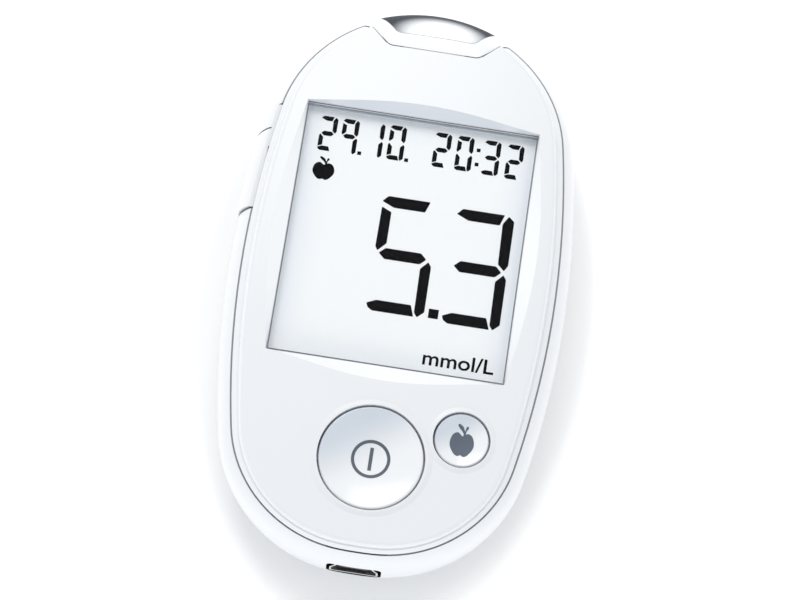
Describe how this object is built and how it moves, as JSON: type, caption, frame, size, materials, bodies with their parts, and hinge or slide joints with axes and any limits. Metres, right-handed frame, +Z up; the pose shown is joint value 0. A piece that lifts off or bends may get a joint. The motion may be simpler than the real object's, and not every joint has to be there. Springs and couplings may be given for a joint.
{
  "type": "blood glucose meter",
  "caption": "Palm-sized oval blood glucose meter with a large display window, two push buttons, a side rocker key, a strip slot and a USB port.",
  "frame": {"origin": "on the surface the meter lies on, under the middle of its widest line", "axes": "+X across the case to the viewer's right, +Y towards the test strip end, +Z up through the display"},
  "size_m": [0.0551, 0.097, 0.0199],
  "materials": {
    "case_white": "satin gloss",
    "button_white": "gloss",
    "trim_silver": "polished",
    "window_clear": "clear",
    "gasket_grey": "matte",
    "display_glass": "clear",
    "reflector_grey": "satin",
    "carrier_white": "matte",
    "zebra_rubber": "matte",
    "contact_steel": "satin",
    "cell_steel": "satin",
    "switch_black": "matte",
    "board_green": "solder mask",
    "chip_black": "matte",
    "ceramic_tan": "matte",
    "contact_gold": "polished",
    "port_steel": "satin",
    "screw_steel": "satin"
  },
  "bodies": {
    "case": {"front_cover": "case_white", "rear_cover": "case_white", "battery_cell_lower": "cell_steel", "battery_cell_upper": "cell_steel", "battery_contact_negative": "contact_steel", "battery_contact_positive": "contact_steel", "strip_port_trim": "trim_silver", "window_lens": "window_clear", "window_gasket": "gasket_grey", "lcd_front_glass": "display_glass", "lcd_rear_glass": "display_glass", "lcd_reflector": "reflector_grey", "lcd_frame": "carrier_white", "zebra_strip": "zebra_rubber", "power_dome": "contact_steel", "marker_dome": "contact_steel", "switch_bodies": "switch_black", "main_board": "board_green", "microcontroller": "chip_black", "memory_chip": "chip_black", "crystal": "cell_steel", "passives": "ceramic_tan", "buzzer": "chip_black", "thermistor": "ceramic_tan", "strip_connector": "switch_black", "strip_contacts": "contact_gold", "usb_shell": "port_steel", "usb_tongue": "switch_black", "usb_contacts": "contact_gold", "case_screws": "screw_steel", "board_screws": "screw_steel"},
    "battery_door": {"battery_door": "case_white", "battery_link": "contact_steel"},
    "power_button": {"power_button": "button_white"},
    "marker_button": {"marker_button": "button_white"},
    "side_rocker": {"side_rocker": "button_white"},
    "plunger_lower": {"plunger_lower": "switch_black"},
    "plunger_upper": {"plunger_upper": "switch_black"}
  },
  "joints": [
    {"name": "power_button_press", "type": "slide", "parent": "case", "child": "power_button", "axis": [0, 0, -1], "range_m": [0, 0.00035], "stiffness_N_per_m": 4500, "deforming": ["power_dome"]},
    {"name": "marker_button_press", "type": "slide", "parent": "case", "child": "marker_button", "axis": [0, 0, -1], "range_m": [0, 0.00035], "stiffness_N_per_m": 4500, "deforming": ["marker_dome"]},
    {"name": "side_rocker_tilt", "type": "hinge", "parent": "case", "child": "side_rocker", "pos_m": [-0.0226, 0.01705, 0.0107], "axis": [0, 0, 1], "range_deg": [-2.5, 2.5], "stiffness_Nm_per_rad": 0.28},
    {"name": "plunger_lower_slide", "type": "slide", "parent": "case", "child": "plunger_lower", "axis": [1, 0, 0], "range_m": [-0.0003, 0.0003]},
    {"name": "plunger_upper_slide", "type": "slide", "parent": "case", "child": "plunger_upper", "axis": [1, 0, 0], "range_m": [-0.0003, 0.0003]},
    {"name": "battery_door_swing", "type": "hinge", "parent": "case", "child": "battery_door", "pos_m": [0, 0.02535, 0.00085], "axis": [1, 0, 0], "range_deg": [0, 40]}
  ],
  "couplings": [
    {"joint": "plunger_lower_slide", "follows": "side_rocker_tilt", "m_per_rad": 0.0065},
    {"joint": "plunger_upper_slide", "follows": "side_rocker_tilt", "m_per_rad": -0.0065}
  ]
}
